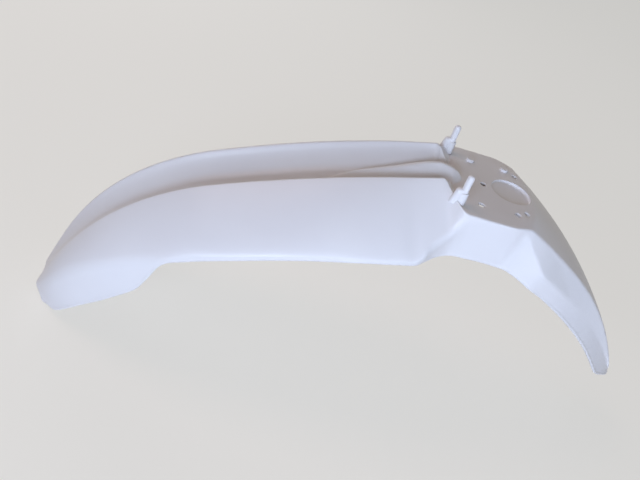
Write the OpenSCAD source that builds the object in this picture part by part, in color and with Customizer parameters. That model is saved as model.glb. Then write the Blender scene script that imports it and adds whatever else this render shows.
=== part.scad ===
// Front mudguard of an off-road motorcycle, moulded in one piece.
//
// Frame: the top face of the mounting deck is the plane Z = 0. X runs back to
// the tail, Y runs across. The origin is the middle of the four main holes.
//
// The shell is a loft. A spine of straights and arcs lies in the plane Y = 0,
// and each cross-section hangs on it: y is the distance from the middle and
// h the height above the spine. Five lines run the whole length of the shell:
// the floor edge of the valley, the crest (which becomes the deck's edge and
// the tail's upper fold), the middle fold and the lower edge, with a raised
// tongue along the middle of the valley.

/* [Shell] */
// Wall thickness
wall = 2.8; // [2.2:0.1:3.2]
// How far the lower edge rolls outwards
lip_roll = 1.4; // [0:0.1:2]

/* [Deck] */
// Width of the deck across its edges
deck_w = 143; // [136:1:150]
// Flat length ahead of the origin
deck_front = 30; // [28:1:36]
// Flat length behind the origin, on the centre line
deck_rear = 44; // [42:1:50]
// How far the deck's rear edge curves forward at its corners
deck_bow = 12; // [6:1:16]
// Depth of the side walls below the deck
deck_side = 51; // [40:1:60]

/* [Front blade] */
// Length of the bend between the deck and the blade
bend_len = 24; // [20:1:36]
// Angle of that bend
bend_turn = 16.5; // [10:0.5:22]
// Length of the long, nearly straight blade
blade_len = 250; // [200:5:300]
// Angle through which the blade droops
blade_turn = 8.5; // [4:0.5:14]
// Length of the curl over the wheel
nose_len = 205; // [170:5:240]
// Angle of the curl
nose_turn = 47; // [30:1:52]
// Straight length at the nose
lip_len = 36; // [30:1:50]
// Distance between the two crests
crest_w = 79; // [72:1:86]
// Distance between the crests at the nose
nose_w = 38; // [32:1:44]
// Height of the crests above the spine
crest_h = 20.5; // [14:0.5:24]
// Width of the valley floor
floor_w = 32; // [28:1:34]
// Width across the skirts
skirt_w = 210; // [190:2:230]
// Drop of the skirt's edge below the spine at mid blade
skirt_drop = 30; // [24:1:36]
// Drop of the lobe behind the nose
lobe_drop = 43.5; // [38:1:50]
// Drop of the skirt's rear corner
corner_drop = 47; // [42:1:54]
// How far the skirts bulge outwards
skirt_bulge = 9; // [2:0.5:12]

/* [Tongue] */
// Width of the raised tongue
tongue_w = 19; // [14:1:21]
// Height of the tongue above the valley floor
tongue_h = 13.5; // [6:0.5:15]

/* [Tail] */
// Length of the bend behind the deck
tail_bend_len = 12; // [8:1:20]
// Angle of that bend
tail_bend_turn = 29; // [20:1:34]
// Length of the tail
tail_len = 275; // [230:5:320]
// Angle through which the tail curls
tail_turn = 32; // [20:1:40]
// Width across the tail's upper folds, behind the deck
tail_w = 121; // [112:1:130]
// Width across the tail's lower edges, where they flare most
flare_w = 158; // [150:1:170]
// Width of the tip
tip_w = 19; // [16:1:24]
// Depth of the tail's upper facet
fold_drop = 27; // [22:1:32]
// Depth of the tail's lower edge
tail_drop = 44.5; // [38:1:50]

/* [Mounting holes] */
// Diameter of the four main holes
hole_d = 7; // [5:0.1:9]
// Distance between the main holes, front to back
hole_dx = 41; // [36:1:44]
// Distance between the main holes, side to side
hole_dy = 90; // [80:1:94]
// Diameter of the two rear holes
rear_hole_d = 6.5; // [4:0.1:7]
// Distance of the rear holes behind the origin
rear_hole_x = 32.5; // [31:0.5:34]
// Distance between the rear holes
rear_hole_dy = 75; // [68:1:78]
// Diameter of the centre hole
centre_hole_d = 6.5; // [4:0.1:8]
// Distance of the centre hole ahead of the origin
centre_hole_x = 11.5; // [9:0.5:14]

/* [Stem recess] */
// Diameter of the round recess under the steering stem
recess_d = 46; // [38:1:48]
// Distance of its middle behind the origin
recess_x = 21; // [19:0.5:22]
// Depth of the recess at its rear
recess_depth = 4; // [2.5:0.1:5]
// Slope of its floor, which meets the deck at the front
recess_slope = 5; // [4:0.1:6]

/* [Pegs] */
// Diameter of the pegs
peg_d = 7.4; // [5:0.1:9]
// Height of the rounded peg tips above the deck
peg_top = 33; // [26:1:40]
// Distance between the two pegs
peg_dy = 106; // [100:1:112]
// Distance of the pegs ahead of the origin
peg_x = 46.5; // [44:0.5:49]
// Diameter of the rounded block that carries each peg
base_d = 10.4; // [10:0.1:13]
// Length of the block ahead of the peg
base_len = 4.5; // [2:0.5:6]
// Height of the block above the deck
base_top = 16; // [12:0.5:20]

/* [Hidden] */
$fn = 48;

// Stations are distances along the spine of the standard sizes, in mm, minus
// ahead of the origin. reach() stretches them to the lengths set above.
TIP = -545;
END = 331;
FRONT = [[deck_front, 0], [bend_len, bend_turn], [blade_len, blade_turn], [nose_len, nose_turn], [lip_len, 0]];
REAR = [[deck_rear, 0], [tail_bend_len, tail_bend_turn], [tail_len, tail_turn]];
blade_at = deck_front + bend_len;
nose_at = blade_at + blade_len;
REACH = [[TIP, -nose_at - nose_len - lip_len], [-509, -nose_at - nose_len], [-304, -nose_at],
    [-54, -blade_at], [-30, -deck_front], [0, 0], [44, deck_rear],
    [56, deck_rear + tail_bend_len], [END, deck_rear + tail_bend_len + tail_len]];

// Half widths that the lines below share
cw = crest_w / 2;
fw = floor_w / 2;
ew = skirt_w / 2;
dw = deck_w / 2;
tw = tail_w / 2;
vw = flare_w / 2;
flat_w = hole_dy / 2 + 7.5;
floor_h = -1.5;

// Floor edge of the valley: half width and height. On the deck it is the flat part.
FLOOR_W = [[TIP, 0.44 * fw], [-500, 0.62 * fw], [-440, 0.81 * fw], [-360, 0.94 * fw], [-150, fw],
    [-70, 1.06 * fw], [-54, 1.19 * fw], [-49, 0.48 * flat_w], [-43, 0.8 * flat_w], [-36, 0.98 * flat_w],
    [0, flat_w], [36, 0.98 * flat_w], [46, 0.8 * flat_w], [60, 0.6 * flat_w], [END, 0.2 * tip_w]];
FLOOR_H = [[TIP, 0.93 * crest_h], [-520, 0.83 * crest_h], [-490, 0.63 * crest_h], [-443, 0.34 * crest_h],
    [-403, 0.1 * crest_h], [-365, floor_h], [-58, floor_h], [-36, 0], [END, 0]];
// Crest, deck edge and upper fold of the tail
CREST_W = [[TIP, nose_w / 2], [-507, 0.64 * cw], [-480, 0.79 * cw], [-455, 0.85 * cw], [-400, 0.89 * cw],
    [-337, 0.94 * cw], [-185, 1.01 * cw], [-105, 0.98 * cw], [-63, 0.92 * cw], [-57, 0.61 * dw],
    [-52, 0.74 * dw], [-47, 0.88 * dw], [-42, 0.965 * dw], [-36, 0.995 * dw], [-20, dw], [0, dw],
    [15, 0.99 * dw], [28, 0.95 * dw], [40, 1.06 * tw], [48, 1.01 * tw], [60, tw], [84, 0.97 * tw],
    [114, 0.9 * tw], [148, 0.78 * tw], [180, 0.665 * tw], [220, 0.525 * tw], [268, 0.385 * tw],
    [318, 0.22 * tw], [END, 0.34 * tip_w]];
CREST_H = [[TIP, 0.98 * crest_h], [-63, crest_h], [-57, 0.66 * crest_h], [-52, 0.41 * crest_h],
    [-47, 0.23 * crest_h], [-42, 1.5], [-36, -0.3], [25, -0.9], [44, -2.6], [56, -4.4], [99, -4],
    [165, -2.8], [268, -2], [END, -1]];
// Middle fold: the lobe's crease, the rear crease of the skirt and the lower fold of the tail
MID_W = [[TIP, 0.3 * ew], [-525, 0.42 * ew], [-500, 0.525 * ew], [-470, 0.63 * ew], [-438, 0.735 * ew],
    [-389, 0.84 * ew], [-356, 0.905 * ew], [-340, 0.92 * ew], [-276, 0.967 * ew], [-227, 0.99 * ew],
    [-161, 0.99 * ew], [-107, 0.955 * ew], [-90, 0.93 * ew], [-82, 0.91 * ew], [-73, 0.84 * ew],
    [-64, 0.79 * ew], [-53.5, 1.09 * dw], [-44, 1.04 * dw], [-34, 1.015 * dw], [0, 1.006 * dw],
    [25, 0.965 * dw], [43, 0.92 * dw], [63, 1.13 * tw], [91, 0.905 * vw], [97, 0.91 * vw],
    [120, 0.85 * vw], [156, 0.71 * vw], [195, 0.56 * vw], [241, 0.405 * vw], [290, 0.25 * vw],
    [315, 0.165 * vw], [END, 0.42 * tip_w]];
MID_H = [[TIP, 0.68 * crest_h], [-525, 0.58 * crest_h], [-500, 0.44 * crest_h], [-470, 0.2 * crest_h],
    [-438, -0.05 * lobe_drop], [-414, -0.2 * lobe_drop], [-389, -0.32 * lobe_drop],
    [-356, -0.41 * lobe_drop], [-340, -0.41 * lobe_drop], [-276, -0.7 * skirt_drop],
    [-227, -0.77 * skirt_drop], [-161, -0.95 * skirt_drop], [-107, -0.79 * corner_drop],
    [-90, -0.88 * corner_drop], [-82, -0.85 * corner_drop], [-73, -0.7 * corner_drop],
    [-64, -0.6 * corner_drop], [-53.5, -0.45 * deck_side], [-44, -0.31 * deck_side],
    [-34, -0.22 * deck_side], [-20, -0.12 * deck_side], [0, -0.09 * deck_side],
    [28, -0.1 * deck_side], [43, -0.18 * deck_side], [51, -0.29 * deck_side], [63, -0.66 * fold_drop],
    [77, -0.79 * fold_drop], [91, -0.95 * fold_drop], [97, -fold_drop], [120, -0.96 * fold_drop],
    [156, -0.84 * fold_drop], [195, -0.73 * fold_drop], [241, -0.56 * fold_drop],
    [290, -0.3 * fold_drop], [315, -0.14 * fold_drop], [END, -1.6]];
// Lower edge
EDGE_W = [[TIP, 0.4 * ew], [-543, 0.443 * ew], [-540, 0.476 * ew], [-534.5, 0.545 * ew], [-523, 0.62 * ew],
    [-499, 0.7 * ew], [-464, 0.78 * ew], [-425, 0.848 * ew], [-392, 0.886 * ew], [-348.5, 0.924 * ew],
    [-301, 0.962 * ew], [-252, 0.99 * ew], [-215, ew], [-161, ew], [-125, 0.98 * ew], [-107, 0.953 * ew],
    [-89, 0.915 * ew], [-80, 0.838 * ew], [-64, 1.09 * dw], [-47.5, 1.014 * dw], [-31, 1.004 * dw],
    [-7, 1.004 * dw], [25, 1.014 * dw], [56, 0.943 * vw], [82, 0.975 * vw], [99, vw], [116, 0.962 * vw],
    [142, 0.9 * vw], [171, 0.823 * vw], [206, 0.72 * vw], [251, 0.595 * vw], [284, 0.506 * vw],
    [308, 0.418 * vw], [319, 0.335 * vw], [326, 0.25 * vw], [END, 0.5 * tip_w]];
EDGE_H = [[TIP, 0.34 * crest_h], [-543, 0.16 * crest_h], [-540, 0], [-534.5, -0.14 * lobe_drop],
    [-523, -0.31 * lobe_drop], [-499, -0.56 * lobe_drop], [-464, -0.84 * lobe_drop], [-425, -lobe_drop],
    [-404, -0.99 * lobe_drop], [-392, -0.91 * lobe_drop], [-379, -0.8 * lobe_drop],
    [-367, -0.68 * lobe_drop], [-357, -0.83 * skirt_drop], [-348.5, -0.79 * skirt_drop],
    [-328, -0.85 * skirt_drop], [-276, -0.91 * skirt_drop], [-227, -0.98 * skirt_drop],
    [-161, -1.17 * skirt_drop], [-125, -0.83 * corner_drop], [-107, -0.915 * corner_drop],
    [-89, -corner_drop], [-80, -1.045 * corner_drop], [-64, -0.98 * deck_side], [-47.5, -1.01 * deck_side],
    [-31, -1.015 * deck_side], [-7, -deck_side], [25, -deck_side], [56, -deck_side],
    [82, -1.045 * tail_drop], [99, -tail_drop], [116, -0.95 * tail_drop], [142, -0.895 * tail_drop],
    [171, -0.827 * tail_drop], [206, -0.748 * tail_drop], [251, -0.65 * tail_drop],
    [284, -0.566 * tail_drop], [308, -0.44 * tail_drop], [319, -0.3 * tail_drop],
    [326, -0.185 * tail_drop], [END, -2.4]];
// How much the skirt bulges, and how far each section bows forward at its sides
BULGE = [[TIP, 0.3 * skirt_bulge], [-500, 0.66 * skirt_bulge], [-440, 0.9 * skirt_bulge],
    [-300, skirt_bulge], [-120, skirt_bulge], [-85, 0.7 * skirt_bulge], [-64, 0.3 * skirt_bulge],
    [-50, 0], [END, 0]];
BOW = [[TIP, 0], [0, 0], [20, 0.4 * deck_bow], [44, deck_bow], [60, deck_bow], [100, 0.9 * deck_bow],
    [200, 0.5 * deck_bow], [END, 0]];
// Tongue: half width and height above the floor
TONGUE_W = [[TIP, 0.16 * tongue_w], [-152, 0.16 * tongue_w], [-134, 0.2 * tongue_w], [-113, 0.32 * tongue_w],
    [-92, 0.41 * tongue_w], [-71, 0.47 * tongue_w], [-50, 0.5 * tongue_w], [-42, 0.45 * tongue_w],
    [-38, 0.37 * tongue_w], [-35, 0.2 * tongue_w], [44, 0.2 * tongue_w], [END, 0.05 * tip_w]];
TONGUE_H = [[TIP, 0], [-152, 0], [-134, 0.4 * tongue_h], [-113, 0.65 * tongue_h], [-92, 0.83 * tongue_h],
    [-71, 0.95 * tongue_h], [-58, tongue_h], [-52, 0.83 * tongue_h], [-46, 0.52 * tongue_h],
    [-40, 0.2 * tongue_h], [-36, 0], [END, 0]];

// The stations of the cross-sections, closer where the shape changes quickly
STATIONS = concat([TIP, -543.5, -540.5, -536.5, -531, -524], [for (s = [-514:12:-418]) s],
    [-408, -400, -393, -386, -379, -372, -366, -360, -355, -350, -343], [for (s = [-331:17:-127]) s],
    [-114, -102, -94, -88, -82, -76, -70, -65, -61, -57, -53.5, -50, -47, -44, -41, -38, -35],
    [-27, -14, 0, 14, 26, 35, 41, 44, 47, 50, 53, 57], [65, 74, 83, 91, 97, 108, 122, 138, 156],
    [176, 197, 219, 242, 264, 284, 300, 311, 319, 325, 329, END]);

// Smooth value of a line at station s, with no overshoot between its points
function rise(line, i) = (line[i + 1][1] - line[i][1]) / (line[i + 1][0] - line[i][0]);
function slope(line, i) =
    i == 0 ? rise(line, 0) : i == len(line) - 1 ? rise(line, i - 1) :
    let (a = rise(line, i - 1), b = rise(line, i)) a * b <= 0 ? 0 : 2 * a * b / (a + b);
function span(line, s, i = 0) = i == len(line) - 2 || s < line[i + 1][0] ? i : span(line, s, i + 1);
function at(line, s) =
    let (i = span(line, s), d = line[i + 1][0] - line[i][0], u = (s - line[i][0]) / d)
    line[i][1] * (2 * u^3 - 3 * u^2 + 1) + line[i + 1][1] * (3 * u^2 - 2 * u^3)
    + d * (slope(line, i) * (u^3 - 2 * u^2 + u) + slope(line, i + 1) * (u^3 - u^2));

// Walks a chain of straights and arcs: forward distance, drop and angle
function walk(chain, s, i = 0, x = 0, z = 0, a = 0) =
    let (d = i == len(chain) - 1 ? s : min(s, chain[i][0]), b = a + chain[i][1] * d / chain[i][0],
        r = chain[i][1] == 0 ? 0 : chain[i][0] / (chain[i][1] * PI / 180),
        nx = x + (r == 0 ? d * cos(a) : r * (sin(b) - sin(a))),
        nz = z + (r == 0 ? d * sin(a) : r * (cos(a) - cos(b))))
    d >= s ? [nx, nz, b] : walk(chain, s - d, i + 1, nx, nz, b);
function spine(s) = s < 0
    ? let (w = walk(FRONT, -s)) [-w[0], -w[1], -w[2]]
    : let (w = walk(REAR, s)) [w[0], -w[1], w[2]];

// The sections lean with the spine's angle, averaged over this length on each side
lean_len = 34;
lean_steps = 4;
function lean(s) =
    let (a = [for (k = [-lean_steps:lean_steps]) spine(s + k * lean_len / lean_steps)[2]])
    (a * [for (v = a) 1]) / len(a);

function mix(a, b, u) = a * (1 - u) + b * u;
function bend(a, q, b, u) = a * (1 - u)^2 + q * 2 * u * (1 - u) + b * u^2;

// Half of the outer profile at a station, from the middle out: points [y, h]
crest_r = 1.6;
foot_gap = 1.5;
foot_flare = 0.3;
crown = 0.93;
lip_up = 4;
function half(s) =
    let (fh = at(FLOOR_H, s), th = at(TONGUE_H, s), ty = at(TONGUE_W, s),
        a = [at(FLOOR_W, s), fh], b = [at(CREST_W, s), at(CREST_H, s)],
        m = [at(MID_W, s), at(MID_H, s)], e = [at(EDGE_W, s), at(EDGE_H, s)],
        foot = min(ty + foot_gap + foot_flare * th, a[0] - 0.4),
        wall_q = mix(a, b, 0.55) + 0.1 * max(b[1] - fh, 0) * [1, -1],
        dm = (m - b) / norm(m - b), skirt_q = mix(b, m, 0.5) + at(BULGE, s) * [-dm[1], dm[0]],
        de = (e - m) / norm(e - m), up = min(lip_up, 0.35 * norm(e - m)),
        in_u = min(crest_r / norm(b - a), 0.15), out_u = min(crest_r / norm(m - b), 0.12))
    [[0, fh + th], [0.55 * ty, fh + 0.98 * th], [ty, fh + crown * th], [foot, fh], a,
        bend(a, wall_q, b, 0.35), bend(a, wall_q, b, 0.7), bend(a, wall_q, b, 1 - in_u),
        bend(b, skirt_q, m, out_u), bend(b, skirt_q, m, 0.22), bend(b, skirt_q, m, 0.42),
        bend(b, skirt_q, m, 0.62), bend(b, skirt_q, m, 0.81), m,
        mix(m, e, 0.45), e - up * de, e + lip_roll * [-de[1], de[0]]];

// The same profile moved inwards by the wall thickness
function turn90(v) = [-v[1], v[0]] / norm(v);
function normal_at(p, i) =
    let (n = i == 0 ? [0, 1] : turn90(p[i] - p[i - 1]),
        k = i == len(p) - 1 ? n : i == 0 ? n : turn90(p[i + 1] - p[i]))
    (n + k) / max(1 + n * k, 0.6);
function inner(p) = [for (i = [0:len(p) - 1]) p[i] - wall * normal_at(p, i)];

// A profile placed on the spine, from the left edge across to the right
function placed(s, p) =
    let (c = spine(reach_of(s)), t = lean(reach_of(s)), bow = at(BOW, s), n = len(p),
        full = [for (i = [1 - n:n - 1]) [i < 0 ? -p[-i][0] : p[i][0], p[abs(i)][1]]])
    [for (q = full) [c[0] + q[1] * sin(t) - bow * min(1, (q[0] / tw)^2), q[0], c[1] + q[1] * cos(t)]];
function reach_of(s) = lookup(s, REACH);

// Faces between rows of points, with the diagonals mirrored about the middle
function sheet(rows, cols, first, flip) = [for (i = [0:rows - 2], j = [0:cols - 2])
    let (a = first + i * cols + j, b = a + 1, c = a + cols + 1, d = a + cols, left = 2 * j < cols - 1,
        pair = left ? [[a, b, c], [a, c, d]] : [[a, b, d], [b, c, d]])
    each [for (f = pair) flip ? [f[2], f[1], f[0]] : f]];
function strip(outer_ids, inner_ids) = [for (i = [0:len(outer_ids) - 2])
    each [[outer_ids[i], inner_ids[i], inner_ids[i + 1]], [outer_ids[i], inner_ids[i + 1], outer_ids[i + 1]]]];

module shell() {
    profiles = [for (s = STATIONS) half(s)];
    rows = len(STATIONS);
    cols = 2 * len(profiles[0]) - 1;
    count = rows * cols;
    outer_points = [for (i = [0:rows - 1]) each placed(STATIONS[i], profiles[i])];
    inner_points = [for (i = [0:rows - 1]) each placed(STATIONS[i], inner(profiles[i]))];
    nose = [for (j = [0:cols - 1]) j];
    tail = [for (j = [cols - 1:-1:0]) (rows - 1) * cols + j];
    left = [for (i = [rows - 1:-1:0]) i * cols];
    right = [for (i = [0:rows - 1]) i * cols + cols - 1];
    rims = [for (ids = [nose, right, tail, left]) each strip(ids, [for (k = ids) k + count])];
    polyhedron(concat(outer_points, inner_points),
        concat(sheet(rows, cols, 0, false), sheet(rows, cols, count, true), rims));
}

// A block and a pin with a rounded end, which the number plate's lugs push onto
peg_root = -1;
cone_h = 2.5;
module peg() {
    base_h = base_top - peg_root;
    translate([0, 0, peg_root]) {
        cylinder(d = base_d, h = base_h);
        translate([-base_len, 0, 0]) cylinder(d = base_d, h = base_h);
        translate([-base_len, -base_d / 2, 0]) cube([base_len, base_d, base_h]);
    }
    translate([0, 0, base_top]) cylinder(d1 = base_d, d2 = peg_d, h = cone_h);
    cylinder(d = peg_d, h = peg_top - peg_d / 2);
    translate([0, 0, peg_top - peg_d / 2]) sphere(d = peg_d);
}

// A round, sloping pan: the same shape cuts the recess and, grown by the wall, backs it
module pan(grow, cut) {
    translate([recess_x + recess_d / 2, 0, -recess_depth - grow]) rotate([0, recess_slope, 0])
        translate([-recess_d / 2, 0, 0]) cylinder(d = recess_d + 2 * grow, h = cut);
}

module pan_back() {
    reach = recess_d + 4 * wall;
    intersection() {
        pan(wall, reach);
        translate([recess_x - reach, -reach, -wall / 2 - reach]) cube([2 * reach, 2 * reach, reach]);
    }
}

module drill(x, y, d) {
    translate([x, y, -3 * wall]) cylinder(d = d, h = 6 * wall);
}

module mudguard() {
    color("whitesmoke") difference() {
        union() {
            shell();
            pan_back();
            for (side = [-1, 1]) translate([-peg_x, side * peg_dy / 2, 0]) peg();
        }
        for (x = [-1, 1], y = [-1, 1]) drill(x * hole_dx / 2, y * hole_dy / 2, hole_d);
        for (y = [-1, 1]) drill(rear_hole_x, y * rear_hole_dy / 2, rear_hole_d);
        drill(-centre_hole_x, 0, centre_hole_d);
        pan(0, 6 * recess_depth);
    }
}

mudguard();
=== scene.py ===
import math

import bmesh
import bpy
import numpy as np
from mathutils import Matrix, Vector


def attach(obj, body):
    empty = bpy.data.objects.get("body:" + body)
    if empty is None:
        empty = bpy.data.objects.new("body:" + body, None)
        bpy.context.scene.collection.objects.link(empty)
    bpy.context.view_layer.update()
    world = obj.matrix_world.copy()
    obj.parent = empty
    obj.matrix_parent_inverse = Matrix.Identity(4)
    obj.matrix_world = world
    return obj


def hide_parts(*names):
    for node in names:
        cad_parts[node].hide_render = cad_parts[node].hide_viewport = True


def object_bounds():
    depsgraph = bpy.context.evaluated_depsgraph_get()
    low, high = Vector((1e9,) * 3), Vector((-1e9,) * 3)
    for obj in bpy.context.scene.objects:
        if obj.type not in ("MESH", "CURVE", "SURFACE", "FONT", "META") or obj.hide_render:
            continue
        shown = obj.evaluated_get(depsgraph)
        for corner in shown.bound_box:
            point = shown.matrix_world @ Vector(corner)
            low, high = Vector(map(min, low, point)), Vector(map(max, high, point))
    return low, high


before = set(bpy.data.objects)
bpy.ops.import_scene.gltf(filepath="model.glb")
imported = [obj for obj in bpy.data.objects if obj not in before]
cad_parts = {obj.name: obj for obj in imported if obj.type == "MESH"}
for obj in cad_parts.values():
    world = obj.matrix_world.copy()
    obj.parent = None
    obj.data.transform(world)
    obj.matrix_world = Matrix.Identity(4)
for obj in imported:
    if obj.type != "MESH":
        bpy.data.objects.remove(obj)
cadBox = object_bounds()
mm = 0.001
tiny = 1e-6  # keeps a division away from nought
weld = 1e-7  # m; points nearer than this become one

# Matched to the deck's holes, pegs and outline in the photograph
photoCamera = {
    "focal": 45.0,  # mm
    "sensor": 36.0,  # mm wide
    "nearest": 0.01,  # m
    "place": (-304.3, -731.8, 378.1),  # mm
    "right": (0.95208522, 0.01523549, 0.30545312),
    "down": (0.25671159, -0.58267357, -0.77109705),
    "forward": (0.16623142, 0.81256347, -0.55866603),
}


def addCamera(s):
    data = bpy.data.cameras.new("photoCamera")
    data.lens = s["focal"]
    data.sensor_width = s["sensor"]
    data.clip_start = s["nearest"]
    cam = bpy.data.objects.new("photoCamera", data)
    bpy.context.scene.collection.objects.link(cam)
    right, down, forward = (Vector(s[k]) for k in ("right", "down", "forward"))
    turn = Matrix((right, -down, -forward)).transposed().to_4x4()
    cam.matrix_world = Matrix.Translation(Vector(s["place"]) * mm) @ turn
    bpy.context.scene.camera = cam


addCamera(photoCamera)
print("camera placed")

# The moulded shell is a loft along a spine in the plane Y = 0. Sizes in mm and
# degrees. A station is a distance along the spine from the middle of the four
# main holes, and minus is towards the nose.
shell = {
    "wall": 2.8,
    "tip": -545,  # stations of the nose tip and the tail tip
    "end": 331,
    # the spine: length and turn of each stretch, first to the nose, then to the tail
    "deckFront": (30, 0),
    "bend": (24, 16.5),
    "blade": (250, 8.5),
    "nose": (205, 47),
    "lip": (36, 0),
    "deckRear": (44, 0),
    "tailBend": (12, 29),
    "tail": (275, 32),
    # full widths
    "noseWidth": 76,
    "crestWidth": 79,
    "floorWidth": 32,  # of the valley
    "skirtWidth": 210,
    "deckWidth": 143,
    "flatWidth": 105,  # of the deck, between the walls of the shoulder
    "tailWidth": 121,
    "flareWidth": 158,  # of the tail's sides
    "tailTipWidth": 38,
    "ridgeWidth": 19,
    # heights above the spine, and drops below it
    "crestHeight": 20.5,
    "ridgeHeight": 18.7,  # above the valley's floor
    "skirtDrop": 30.5,
    "lobeDrop": 44,
    "cornerDrop": 47.5,
    "deckSide": 51,
    "foldDrop": 27,
    "tailDrop": 44.5,
    "skirtBulge": 9,
    "deckBow": 12,  # how far the sections behind the deck bow forwards at their sides
    "ridgeTop": (0.6, 0.95),  # where its top bends, and how high it is at its side
    "ridgeFoot": (1.5, 0.85),  # mm past its slope, and at most this share of the floor
    "wallHollow": 0.04,  # of the valley wall's height
    "wallBend": (0.54, 1.4),  # where the wall is hollow most, and how many times over
    "lipRoll": 0.9,
    "lipUp": 4.0,  # where the roll starts above the edge
    "lipMost": 0.35,  # the same as a share of the side, if that is less
    "lipBend": 0.4,  # of lipUp
    "lipCut": 0.6,  # most of the roll that the rounded lip takes
    "miterLimit": 0.6,
    "endTurns": (0, 18, 36, 54, 72),  # at both ends the wall closes in a half round
    "leanLength": 34,  # the sections' lean is averaged over this on each side
    "leanSteps": 4,
    "sharpAngle": 38,
    # from, to and step of the cross-sections
    "rows": [
        (-545, -515, 2), (-515, -415, 5), (-415, -335, 2.5), (-335, -190, 5.8),
        (-190, -66, 2.9), (-66, -38, 0.8), (-38, -30, 1.6), (-30, 26, 6),
        (26, 66, 1.8), (66, 110, 2.5), (110, 285, 6), (285, 331, 2),
    ],
}
tip, end = shell["tip"], shell["end"]
nose, crest, floor, skirt, deck, flat, tail, flare, tailTip = (
    shell[part + "Width"] / 2 for part in
    ("nose", "crest", "floor", "skirt", "deck", "flat", "tail", "flare", "tailTip"))
crestHeight, skirtDrop, lobeDrop, cornerDrop, deckSide, foldDrop, tailDrop = (
    shell[k] for k in
    ("crestHeight", "skirtDrop", "lobeDrop", "cornerDrop", "deckSide", "foldDrop", "tailDrop"))

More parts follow.
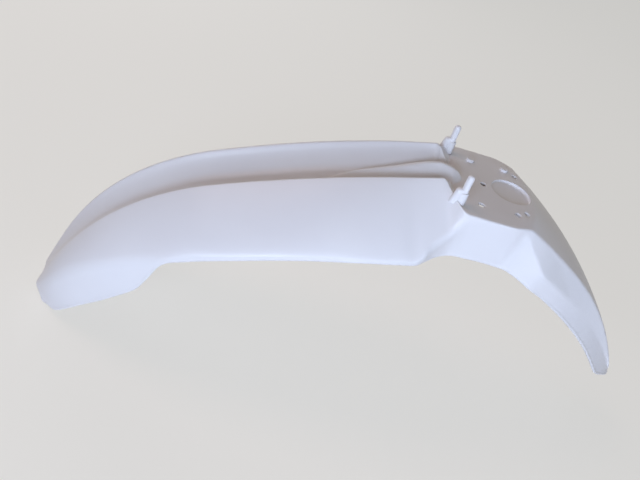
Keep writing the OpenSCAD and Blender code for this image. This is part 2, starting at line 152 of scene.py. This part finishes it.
# Each line of the section is a size followed by stations and the share of that
# size at each of them. From the middle out come the ridge, the valley's floor,
# the knee where the valley's wall ends, the crest, the fold half way down the
# side, and the edge. Heights are above the spine, the ridge's above the floor.
lines = {
    "floorWidth": (
        floor, [(tip, .44), (-500, .62), (-440, .81), (-360, .94), (-150, 1), (-70, 1.06),
                (-50, 1.13)],
        flat, [(-48, .42), (-46, .68), (-43, .92), (-38, .99), (0, 1), (36, .98), (46, .8),
               (60, .6)],
        tailTip, [(end, .2)]),
    "floorHeight": (
        crestHeight, [(tip, .9), (-520, .82), (-490, .62), (-443, .34), (-403, .1)],
        1, [(-365, -1.5), (-58, -1.5), (-36, 0), (30, 0), (44, -.8), (56, -3.2), (75, -3.7),
            (99, -3.7), (165, -3), (220, -2.3), (268, -1.7), (end, -.8)]),
    "kneeShare": (
        1, [(tip, .77), (-66, .77), (-59, .763), (-56, .49), (-53, .25), (-50.5, .12),
            (-48, .06), (-45, .3), (-40, .5), (end, .5)]),
    "kneeLift": (
        1, [(tip, 0), (-66, 0), (-62, 2), (-59, 6), (-56, 7.8), (-53, 6.7), (-50.5, 4.6),
            (-48.5, 1), (-47, 0), (end, 0)]),
    "crestWidth": (
        nose, [(tip, .5)],
        crest, [(-507, .64), (-480, .79), (-455, .85), (-400, .885), (-340, .9), (-290, .91),
                (-185, .945), (-105, .95), (-63, .92)],
        deck, [(-57, .61), (-52, .74), (-47, .88), (-42, .965), (-36, .995), (-20, 1), (0, 1),
               (15, 1), (28, .965)],
        tail, [(40, 1.09), (48, 1.04), (60, 1.01), (84, .975), (114, .9), (148, .78),
               (180, .665), (220, .525), (268, .385), (318, .22)],
        tailTip, [(end, .34)]),
    "crestHeight": (
        crestHeight, [(tip, .97), (-525, .98), (-495, .97), (-460, .98), (-430, 1),
                      (-340, 1.03), (-290, 1.08), (-190, 1.09), (-145, 1.075), (-105, 1.045),
                      (-75, 1.01), (-63, 1), (-57, .66), (-52, .41), (-47, .23)],
        1, [(-42, 1.5), (-36, -.3), (25, -.7), (44, -1.7), (56, -3.6), (80, -3.1), (99, -3.2),
            (165, -2.8), (268, -2), (end, -1)]),
    "foldWidth": (
        skirt, [(tip, .3), (-525, .42), (-500, .525), (-470, .63), (-438, .735), (-389, .84),
                (-356, .905), (-340, .92), (-276, .967), (-227, .99), (-161, .99),
                (-107, .955), (-90, .93), (-82, .91), (-73, .84), (-64, .79)],
        deck, [(-53.5, 1.09), (-44, 1.04), (-34, 1.015), (0, 1.006), (25, .98), (43, .935)],
        tail, [(62, 1.15)],
        flare, [(75, .922), (88, .967), (94, .98), (117, .923), (153, .777), (192, .616),
                (239, .446), (289, .27), (315, .165)],
        tailTip, [(end, .42)]),
    "foldHeight": (
        crestHeight, [(tip, .68), (-525, .58), (-500, .44), (-470, .2)],
        lobeDrop, [(-438, -.05), (-414, -.2), (-389, -.32), (-356, -.41), (-340, -.41)],
        skirtDrop, [(-276, -.7), (-227, -.77), (-161, -.95)],
        cornerDrop, [(-107, -.79), (-90, -.88), (-82, -.85), (-73, -.7), (-64, -.6)],
        deckSide, [(-53.5, -.45), (-44, -.31), (-34, -.22), (-20, -.12), (0, -.09), (28, -.1),
                   (43, -.18), (51, -.27)],
        foldDrop, [(62, -.64), (75, -.74), (88, -.865), (94, -.9), (117, -.86), (153, -.76),
                   (192, -.667), (239, -.52), (289, -.28), (315, -.14)],
        1, [(end, -1.6)]),
    "foldRound": (
        1, [(tip, 8), (-360, 9), (-330, 14), (-130, 14), (-95, 10), (-60, 8), (-40, 10),
            (40, 6), (62, 3.5), (end, 2)]),
    "edgeWidth": (
        skirt, [(tip, .4), (-543, .443), (-540, .476), (-534.5, .562), (-530, .592),
                (-523, .625), (-499, .7), (-464, .78), (-425, .848), (-392, .886),
                (-348.5, .924), (-301, .962), (-252, .99), (-215, 1), (-161, 1), (-125, .98),
                (-107, .953), (-89, .915), (-80, .838)],
        deck, [(-64, 1.09), (-47.5, 1.014), (-31, 1.004), (-7, 1.004), (25, 1.014)],
        flare, [(56, .943), (82, .975), (99, 1), (116, .962), (142, .9), (171, .825),
                (206, .727), (251, .605), (284, .519), (298, .487), (308, .427), (319, .325),
                (326, .25), (329, .2)],
        tailTip, [(end, .5)]),
    "edgeHeight": (
        crestHeight, [(tip, .34), (-543, .16), (-540, 0)],
        lobeDrop, [(-534.5, -.18), (-530, -.245), (-523, -.32), (-499, -.56), (-464, -.84),
                   (-443, -.93), (-422, -.99), (-410, -1), (-402, -.975), (-392, -.905),
                   (-379, -.795), (-367, -.665)],
        skirtDrop, [(-357, -.815), (-348.5, -.77), (-328, -.84), (-276, -.9), (-227, -.97),
                    (-161, -1.15)],
        cornerDrop, [(-125, -.823), (-107, -.9), (-89, -.975), (-80, -1.02)],
        deckSide, [(-64, -.97), (-47.5, -1.002), (-31, -1.005), (-7, -.985), (25, -.99),
                   (42, -1), (49, -1.01), (56, -.995)],
        tailDrop, [(64, -1.104), (73, -1.067), (82, -1.045), (99, -1), (116, -.95),
                   (142, -.895), (171, -.83), (206, -.758), (251, -.665), (284, -.587),
                   (298, -.542), (308, -.454), (319, -.287), (326, -.185)],
        1, [(329, -5.6), (end, -2.4)]),
    "bulge": (
        shell["skirtBulge"], [(tip, .3), (-500, .45), (-440, .6), (-340, .55), (-240, .7),
                              (-160, .95), (-120, 1), (-85, .7), (-64, .3), (-50, 0), (end, 0)]),
    "bow": (
        shell["deckBow"], [(tip, 0), (0, 0), (20, .4), (44, 1), (60, 1), (100, .9), (200, .5),
                           (end, 0)]),
    "ridgeWidth": (
        shell["ridgeWidth"], [(tip, .05), (-160, .05), (-130, .1), (-90, .15), (-50, .15),
                              (-40, .1), (44, .05), (end, .05)]),
    "ridgeHeight": (
        shell["ridgeHeight"], [(tip, 0), (-190, 0), (-165, .25), (-144, .5), (-118, .645),
                               (-102.5, .755), (-87, .89), (-72, 1), (-62, .99), (-56, .87),
                               (-50, .7), (-43, .43), (-39.3, .22), (-36, 0), (end, 0)]),
}


def lineAt(name, s):  # smooth, with no overshoot between the points
    points = []
    for size, rows in zip(lines[name][::2], lines[name][1::2]):
        points += [(at, size * share) for at, share in rows]
    x, y = np.array(points, float).T
    rise = np.diff(y) / np.diff(x)
    slope = np.concatenate(([rise[0]], np.zeros(len(x) - 2), [rise[-1]]))
    a, b = rise[:-1], rise[1:]
    same = a * b > 0
    slope[1:-1][same] = 2 * a[same] * b[same] / (a + b)[same]
    i = np.clip(np.searchsorted(x, s, side="right") - 1, 0, len(x) - 2)
    d = x[i + 1] - x[i]
    u = (s - x[i]) / d
    return (y[i] * (2 * u**3 - 3 * u**2 + 1) + y[i + 1] * (3 * u**2 - 2 * u**3)
            + d * (slope[i] * (u**3 - 2 * u**2 + u) + slope[i + 1] * (u**3 - u**2)))


def walkSpine(s):  # x, z and angle in degrees at a station
    names, side = ("deckFront", "bend", "blade", "nose", "lip"), -1
    if s >= 0:
        names, side = ("deckRear", "tailBend", "tail"), 1
    x = z = a = 0.0
    left = abs(s)
    for name in names:
        length, turn = shell[name]
        d = left if name == names[-1] else min(left, length)
        b = a + math.radians(turn) * d / length
        if turn:
            r = length / math.radians(turn)
            x += r * (math.sin(b) - math.sin(a))
            z += r * (math.cos(a) - math.cos(b))
        else:
            x += d * math.cos(a)
            z += d * math.sin(a)
        a, left = b, left - d
        if left <= 0:
            break
    return side * x, -z, side * math.degrees(a)


def cross(a, b, u):  # from a to b, u from 0 to 1
    return a * (1 - u) + b * u


def bend(a, q, b, u):  # the same, drawn towards q on the way
    return a * (1 - u) ** 2 + q * 2 * u * (1 - u) + b * u**2


def unit(v):
    return v / np.maximum(np.linalg.norm(v, axis=-1, keepdims=True), tiny)


def outwards(v):
    v = unit(v)
    return np.stack([-v[..., 1], v[..., 0]], -1)


# Corners of the half section: how far each rounding reaches on the outer and on
# the inner face, in mm, and the points that draw it
corners = {
    "ridge": (1.8, 1.0, 4),
    "foot": (2.5, 4.0, 4),
    "floor": (5.0, 6.5, 5),
    "knee": (1.4, 1.2, 4),
    "crest": (2.6, 1.4, 7),
    "fold": (1.0, 0.85, 8),  # as a share of the line foldRound
}
# Pieces of the half section: name, the controls at its start, bend and end, the
# corner after it, and the points that draw it
pieces = [
    ("ridgeTop", 0, 1, 2, "ridge", 5),
    ("ridgeSide", 2, None, 3, "foot", 3),
    ("valley", 3, None, 4, "floor", 5),
    ("valleyWall", 4, 5, 6, "knee", 6),
    ("ledge", 6, None, 7, "crest", 3),
    ("skirt", 7, 8, 9, "fold", 11),
    ("edge", 9, None, 10, None, 4),
    ("roll", 10, 11, 12, None, 4),
]
usualTrim, edgeTrim = 0.42, 0.85  # the most of a piece that a corner takes
lipPoints = 5


def halfSection(s, depth, cut):
    # The half section, from the middle out, at a depth below the outer face,
    # stopping a cut short of the lip
    col = lambda v: np.asarray(v, float)[:, None]
    pt = lambda y, h: np.stack([y, h], -1)
    at = {name: lineAt(name, s) for name in lines}
    base, rise, width = at["floorHeight"], at["ridgeHeight"], at["ridgeWidth"]
    a = pt(at["floorWidth"], base)
    b = pt(at["crestWidth"], at["crestHeight"])
    m = pt(at["foldWidth"], at["foldHeight"])
    e = pt(at["edgeWidth"], at["edgeHeight"])
    bendAt, sideHeight = shell["ridgeTop"]
    past, most = shell["ridgeFoot"]
    foot = np.minimum(width + past + rise, most * a[:, 0])
    hollow = shell["wallHollow"] * np.maximum(b[:, 1] - base, 0)
    knee = cross(a, b, col(at["kneeShare"])) + pt(hollow, at["kneeLift"] - hollow)
    hollowAt, times = shell["wallBend"]
    wallQ = cross(a, knee, hollowAt) + times * pt(hollow, -hollow)
    skirtQ = cross(b, m, 0.5) + col(at["bulge"]) * outwards(m - b)
    de = unit(e - m)
    up = col(np.minimum(shell["lipUp"], shell["lipMost"] * np.linalg.norm(e - m, axis=1)))
    controls = np.stack([
        pt(0 * width, base + rise), pt(bendAt * width, base + rise),
        pt(width, base + sideHeight * rise), pt(foot, base),
        a, wallQ, knee, b, skirtQ, m,
        e - up * de, e - shell["lipBend"] * up * de, e + shell["lipRoll"] * outwards(e - m),
    ], 1)
    # move every control inwards by the depth, mitred
    side = outwards(controls[:, 1:] - controls[:, :-1])
    before = np.concatenate([np.repeat([[[0.0, 1.0]]], len(s), 0), side], 1)
    after = np.concatenate([side, side[:, -1:]], 1)
    spread = 1 + (before * after).sum(-1, keepdims=True)
    miter = (before + after) / np.maximum(spread, shell["miterLimit"])
    k = controls - col(depth)[:, None] * miter
    share = np.clip(np.asarray(depth, float) / shell["wall"], 0, 1)

    def curve(piece, u):
        _, i, q, j, _, _ = piece
        return cross(k[:, i], k[:, j], u) if q is None else bend(k[:, i], k[:, q], k[:, j], u)

    def span(piece):
        return np.linalg.norm(k[:, piece[3]] - k[:, piece[1]], axis=1)

    def trim(corner, piece):  # the share of the piece that the corner's rounding takes
        if corner is None:
            return 0 * share
        outer, inner, _ = corners[corner]
        reach = (outer + (inner - outer) * share) * (at["foldRound"] if corner == "fold" else 1)
        most = edgeTrim if piece[0] == "edge" else usualTrim
        return np.minimum(reach / np.maximum(span(piece), tiny), most)

    points = []
    for i, piece in enumerate(pieces):
        name, _, _, j, corner, n = piece
        u0 = trim(pieces[i - 1][4], piece) if i else 0 * share
        u1 = 1 - trim(corner, piece)
        if name == "roll":
            u1 = 1 - np.minimum(cut / span(piece), shell["lipCut"])
        for t in range(n + (name == "roll")):
            points.append(curve(piece, col(u0 + (u1 - u0) * t / n)))
        if corner:
            start = curve(piece, col(u1))
            stop = curve(pieces[i + 1], col(trim(corner, pieces[i + 1])))
            n = corners[corner][2]
            points += [bend(start, k[:, j], stop, t / n) for t in range(n)]
    return np.stack(points, 1)


def stationRows():
    rows = set()
    for a, b, step in shell["rows"]:
        n = round((b - a) / step)
        rows.update(round(a + (b - a) * i / n, 4) for i in range(n + 1))
    return np.array(sorted(rows))


def ringRows(s, half):
    # Outer face, rounded lip and inner face of each row, half being half its thickness
    wall = shell["wall"] / 2
    outer, inner = halfSection(s, wall - half, half), halfSection(s, wall + half, half)
    top, low = outer[:, -1], inner[:, -1]
    down = unit(top - outer[:, -2]) * half[:, None]
    arc = [(top + low) / 2 + (top - low) / 2 * math.cos(t) + down * math.sin(t)
           for t in np.linspace(0, math.pi, lipPoints + 2)[1:-1]]
    return np.concatenate([outer, np.stack(arc, 1), inner[:, ::-1]], 1)


def placeRings(s, half):  # y, h of each ring put on the spine, in metres
    y, h = half[..., 0], half[..., 1]
    reach, n = shell["leanLength"], shell["leanSteps"]
    spine = np.array([walkSpine(v) for v in s])
    lean = np.mean([[walkSpine(v + k * reach / n)[2] for v in s] for k in range(-n, n + 1)],
                   axis=0)
    t = np.radians(lean)[:, None]
    forward = lineAt("bow", s)[:, None] * np.minimum(1, (y / tail) ** 2)
    x = spine[:, :1] + h * np.sin(t) - forward
    return np.stack([x, y, spine[:, 1:2] + h * np.cos(t)], -1) * mm


def buildShell():
    wall = shell["wall"] / 2
    rows = stationRows()
    rows = rows[(rows > tip + wall) & (rows < end - wall)]
    turn = np.radians(shell["endTurns"])
    close, thin = wall * (1 - np.cos(turn)), wall * np.sin(turn)
    s = np.concatenate([tip + close, rows, (end - close)[::-1]])
    half = np.concatenate([thin, np.full(len(rows), wall), thin[::-1]])
    near = placeRings(s, ringRows(s, half))
    rings = np.concatenate([near, near[:, -2:0:-1] * (1, -1, 1)], 1)
    count, cols = rings.shape[:2]
    ids = np.arange(count * cols).reshape(count, cols)
    nextCol = np.roll(ids, -1, 1)
    faces = np.stack([ids[:-1], nextCol[:-1], nextCol[1:], ids[1:]], -1).reshape(-1, 4)
    return rings.reshape(-1, 3).tolist(), faces.tolist()


def meshObject(name, points, faces):
    mesh = bpy.data.meshes.new(name)
    mesh.from_pydata(points, [], faces)
    bm = bmesh.new()
    bm.from_mesh(mesh)
    bmesh.ops.remove_doubles(bm, verts=bm.verts, dist=weld)
    bmesh.ops.recalc_face_normals(bm, faces=bm.faces)
    bm.to_mesh(mesh)
    bm.free()
    obj = bpy.data.objects.new(name, mesh)
    bpy.context.scene.collection.objects.link(obj)
    return obj


def stack(loops):  # a closed body through loops of points, capped at both ends
    n = len(loops[0])
    faces = [[i * n + j, i * n + (j + 1) % n, (i + 1) * n + (j + 1) % n, (i + 1) * n + j]
             for i in range(len(loops) - 1) for j in range(n)]
    faces += [list(range(n)), list(range((len(loops) - 1) * n, len(loops) * n))]
    return [tuple(v) for loop in loops for v in loop], faces


def slotLoop(radius, length, z, x=0.0, y=0.0, n=48):  # a circle, drawn out forwards by a length
    loop = []
    for i in range(n):
        t = 2 * math.pi * (i + 0.5) / n
        shift = length if math.cos(t) < 0 else 0
        across = y + radius * math.sin(t)
        loop.append(((x - shift + radius * math.cos(t)) * mm, across * mm, z * mm))
    return loop


# Sizes in mm and degrees, on the deck's top face
deckParts = {
    "mainHole": (7.0, [(-20.5, -45), (-20.5, 45), (20.5, -45), (20.5, 45)]),  # diameter, places
    "rearHole": (6.5, [(32.5, -37.5), (32.5, 37.5)]),
    "centreHole": (6.5, [(-11.5, 0)]),
    "holeRound": 0.9,
    "recess": {"radius": 23, "x": 21, "depth": 4.2, "slope": 3.6, "corner": 1.6, "points": 96},
    "pegs": [(-46.5, -53), (-46.5, 53)],
    "peg": {"radius": 3.7, "top": 32.9, "round": 3.5, "root": 8},
    "boss": {"radius": 5.4, "top": 13.5, "round": 1.5, "root": -0.9},
    "web": {"width": 7.8, "length": 9, "top": 16.5, "slope": 3, "round": 3.8,
            "sideRound": 2.4, "root": -1.1},
    "past": 3,  # how far a body runs past the face that it meets
    "clear": 24,  # height of the recess's cutter
}
edgeTurns = np.linspace(0, math.pi / 2, 5)  # steps of the roundings
topTurns = np.linspace(0, math.pi / 2, 6)


def holeCutter(name, x, y, diameter):
    r, c, wall, past = diameter / 2, deckParts["holeRound"], shell["wall"], deckParts["past"]
    steps = [(c * (1 - math.sin(t)), c * (1 - math.cos(t))) for t in edgeTurns]
    sizes = [(r + c, past)] + [(r + out, -down) for out, down in steps]
    sizes += [(r + out, down - wall) for out, down in reversed(steps)] + [(r + c, -wall - past)]
    return meshObject(name, *stack([slotLoop(radius, 0, z, x, y) for radius, z in sizes]))


def recessBody(name, grow, height):  # a round body standing on the recess's sloping floor
    k = deckParts["recess"]
    r, corner, n = k["radius"] + grow, k["corner"] + grow, k["points"]
    loops = [slotLoop(r - corner * (1 - math.sin(t)), 0, corner * (1 - math.cos(t)) - grow, n=n)
             for t in edgeTurns]
    loops.append(slotLoop(r, 0, height, n=n))
    obj = meshObject(name, *stack(loops))
    hinge = Matrix.Translation(Vector((k["x"] + k["radius"], 0, -k["depth"])) * mm)
    turn = Matrix.Rotation(math.radians(k["slope"]), 4, "Y")
    obj.data.transform(hinge @ turn @ Matrix.Translation((-k["radius"] * mm, 0, 0)))
    return obj


def recessBack(name):  # the wall under the recess, kept below the middle of the deck's wall
    obj = recessBody(name, shell["wall"], deckParts["past"])
    middle = -shell["wall"] / 2 * mm
    topLoop = len(obj.data.vertices) - deckParts["recess"]["points"]
    for v in obj.data.vertices:
        if v.co.z > middle or v.index >= topLoop:
            v.co.z = middle
    return obj


def pegBody(name, x, y):
    w = deckParts["web"]

    def post(part, k):  # a round post with a rounded end
        loops = [slotLoop(k["radius"], 0, k["root"], x, y)]
        for t in topTurns:
            loops.append(slotLoop(k["radius"] - k["round"] * (1 - math.cos(t)), 0,
                                  k["top"] - k["round"] * (1 - math.sin(t)), x, y))
        return meshObject(name + part, *stack(loops))

    length = w["length"] + w["slope"] - w["width"] / 2
    loops = [slotLoop(w["width"] / 2, length, w["root"], x, y)]
    for t in topTurns:  # the web ahead of the peg, with a sloping front and a rounded top
        radius = w["width"] / 2 - w["sideRound"] * (1 - math.cos(t))
        front = w["length"] - w["round"] * (1 - math.cos(t))
        top = w["top"] - w["round"] * (1 - math.sin(t))
        loops.append(slotLoop(radius, front - radius, top, x, y))
    return [post("Boss", deckParts["boss"]), meshObject(name + "Web", *stack(loops)),
            post("Pin", deckParts["peg"])]


def boolean(obj, tools, operation):
    for tool in tools:
        mod = obj.modifiers.new(tool.name, "BOOLEAN")
        mod.object, mod.operation, mod.solver = tool, operation, "EXACT"
    bpy.context.view_layer.update()
    graph = bpy.context.evaluated_depsgraph_get()
    mesh = bpy.data.meshes.new_from_object(obj.evaluated_get(graph))
    obj.modifiers.clear()
    old, obj.data = obj.data, mesh
    bpy.data.meshes.remove(old)
    for tool in tools:
        bpy.data.meshes.remove(tool.data)


mudguard = meshObject("mudguardShell", *buildShell())
print("shell lofted:", len(mudguard.data.polygons), "faces")
bodies = [recessBack("recessBack")]
for i, (x, y) in enumerate(deckParts["pegs"]):
    bodies += pegBody("peg%d" % i, x, y)
boolean(mudguard, bodies, "UNION")
cutters = [recessBody("recess", 0, deckParts["clear"])]
for kind in ("mainHole", "rearHole", "centreHole"):
    diameter, places = deckParts[kind]
    cutters += [holeCutter(kind + str(i), x, y, diameter) for i, (x, y) in enumerate(places)]
boolean(mudguard, cutters, "DIFFERENCE")
mudguard.data.shade_smooth()
mudguard.data.set_sharp_from_angle(angle=math.radians(shell["sharpAngle"]))
print("deck drilled:", len(mudguard.data.polygons), "faces")


def linear(code):  # sRGB hex to linear
    values = [int(code[i:i + 2], 16) / 255 for i in (1, 3, 5)]
    return tuple(v / 12.92 if v <= 0.04045 else ((v + 0.055) / 1.055) ** 2.4
                 for v in values) + (1.0,)


def addNode(tree, kind, settings=None, links=None):
    # An input is named or numbered, and any other setting is the node's own
    node = tree.nodes.new(kind)
    for key, value in (settings or {}).items():
        if isinstance(key, int) or key in node.inputs:
            node.inputs[key].default_value = value
        else:
            setattr(node, key, value)
    for key, source in (links or {}).items():
        tree.links.new(source, node.inputs[key])
    return node


def newMaterial(name):
    mat = bpy.data.materials.new(name)
    mat.use_nodes = True
    mat.node_tree.nodes.clear()
    return mat, mat.node_tree


moulding = {
    "white": "#EFEFF2",  # the resin's own white, a little cool
    "shade": "#E6E5E9",
    "ior": 1.49,
    "roughness": (0.32, 0.42),  # where it is white, and where it is the shade
    "cloud": (90.0, 3.0),  # mm across a patch of uneven pigment, and its detail
    # a mould's polish is 0.1 mm, too fine to show, so it is drawn coarser
    "grain": (2.2, 2.0),
    "bump": (0.05, 0.2),  # strength, and height in mm
}


def mouldedPolypropylene(s):
    # Injection-moulded polypropylene: a soft, even sheen with blurred reflections
    # and a faint clouding where the melt flowed
    mat, tree = newMaterial("injectionMouldedPolypropylene")
    place = addNode(tree, "ShaderNodeTexCoord").outputs["Object"]
    cloud, grain = (
        addNode(tree, "ShaderNodeTexNoise", {"Scale": 1 / (size * mm), "Detail": detail},
                {"Vector": place}).outputs["Fac"]
        for size, detail in (s["cloud"], s["grain"]))
    tint = addNode(tree, "ShaderNodeMix",
                   {"data_type": "RGBA", "A": linear(s["white"]), "B": linear(s["shade"])},
                   {"Factor": cloud})
    least, most = s["roughness"]
    rough = addNode(tree, "ShaderNodeMapRange", {"To Min": least, "To Max": most},
                    {"Value": cloud})
    strength, height = s["bump"]
    bump = addNode(tree, "ShaderNodeBump", {"Strength": strength, "Distance": height * mm},
                   {"Height": grain})
    shader = addNode(tree, "ShaderNodeBsdfPrincipled", {"IOR": s["ior"], "Metallic": 0.0},
                     {"Base Color": tint.outputs["Result"], "Roughness": rough.outputs["Result"],
                      "Normal": bump.outputs["Normal"]})
    addNode(tree, "ShaderNodeOutputMaterial", None, {"Surface": shader.outputs["BSDF"]})
    return mat


mudguard.data.materials.clear()
mudguard.data.materials.append(mouldedPolypropylene(moulding))
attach(mudguard, "root")
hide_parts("mudguard")
print("material set")

studio = {
    "floor": "#F0EBE4",
    "floorSize": 8.0,  # m
    "floorGap": 0.0005,  # m, under the object
    "floorPaleness": 0.62,  # how far the camera sees it as the backdrop, the rest its shadow
    "sky": ("#FFF2DC", 0.11),  # colour and strength of the light from all round
    "backdrop": ("#F2F2F0", 1.0),
    "target": (-0.08, 0, -0.05),  # m; the panels point at it
    # colour, direction from the target in degrees (round from +X and up), distance
    # and size in m, power in W
    "panels": {
        "sidePanel": ("#D5E2FC", (-78, 3), 2.2, (3.2, 0.8), 34.5),
        "keyPanel": ("#D2E4FF", (246, 16), 2.0, (0.8, 0.3), 17.0),
        "rearPanel": ("#F6F6FF", (115, 15), 2.0, (0.9, 0.9), 6.7),
        "topPanel": ("#FFDCD0", (165, 55), 2.0, (0.9, 0.9), 6.4),
    },
}


def seenDirectly(tree):  # 1 where the camera, or a reflection, looks at the surface
    path = addNode(tree, "ShaderNodeLightPath").outputs
    total = path["Is Camera Ray"]
    for ray in ("Is Glossy Ray", "Is Transmission Ray"):
        more = addNode(tree, "ShaderNodeMath", {"operation": "ADD", "use_clamp": True},
                       {0: total, 1: path[ray]})
        total = more.outputs[0]
    return total


def buildFloor(s):
    half, z = s["floorSize"] / 2, cadBox[0][2] - s["floorGap"]
    square = [(-half, -half, z), (half, -half, z), (half, half, z), (-half, half, z)]
    floorObj = meshObject("studioFloor", square, [[0, 1, 2, 3]])
    mat, tree = newMaterial("studioFloorPaper")
    color, strength = s["backdrop"]
    paper = addNode(tree, "ShaderNodeBsdfDiffuse", {"Color": linear(s["floor"])})
    pale = addNode(tree, "ShaderNodeEmission", {"Color": linear(color), "Strength": strength})
    share = addNode(tree, "ShaderNodeMath", {"operation": "MULTIPLY", 1: s["floorPaleness"]},
                    {0: seenDirectly(tree)})
    mix = addNode(tree, "ShaderNodeMixShader", None,
                  {"Fac": share.outputs[0], 1: paper.outputs[0], 2: pale.outputs[0]})
    addNode(tree, "ShaderNodeOutputMaterial", None, {"Surface": mix.outputs[0]})
    floorObj.data.materials.append(mat)


def buildSky(s):
    world = bpy.data.worlds.new("studioWorld")
    bpy.context.scene.world = world
    world.use_nodes = True
    tree = world.node_tree
    tree.nodes.clear()
    light, back = (
        addNode(tree, "ShaderNodeBackground", {"Color": linear(color), "Strength": strength})
        for color, strength in (s["sky"], s["backdrop"]))
    mix = addNode(tree, "ShaderNodeMixShader", None,
                  {"Fac": seenDirectly(tree), 1: light.outputs[0], 2: back.outputs[0]})
    addNode(tree, "ShaderNodeOutputWorld", None, {"Surface": mix.outputs[0]})


def hangPanels(s):
    target = Vector(s["target"])
    for name, (color, (around, up), distance, size, power) in s["panels"].items():
        data = bpy.data.lights.new(name, "AREA")
        data.shape, (data.size, data.size_y) = "RECTANGLE", size
        data.energy, data.color = power, linear(color)[:3]
        panel = bpy.data.objects.new(name, data)
        bpy.context.scene.collection.objects.link(panel)
        around, up = math.radians(around), math.radians(up)
        level = math.cos(up)
        away = Vector((level * math.cos(around), level * math.sin(around), math.sin(up)))
        panel.location = target + away * distance
        panel.rotation_euler = (-away).to_track_quat("-Z", "Y").to_euler()
        panel.visible_camera = False


buildFloor(studio)
buildSky(studio)
hangPanels(studio)
bpy.context.scene.view_settings.view_transform = "Standard"
print("studio lit")
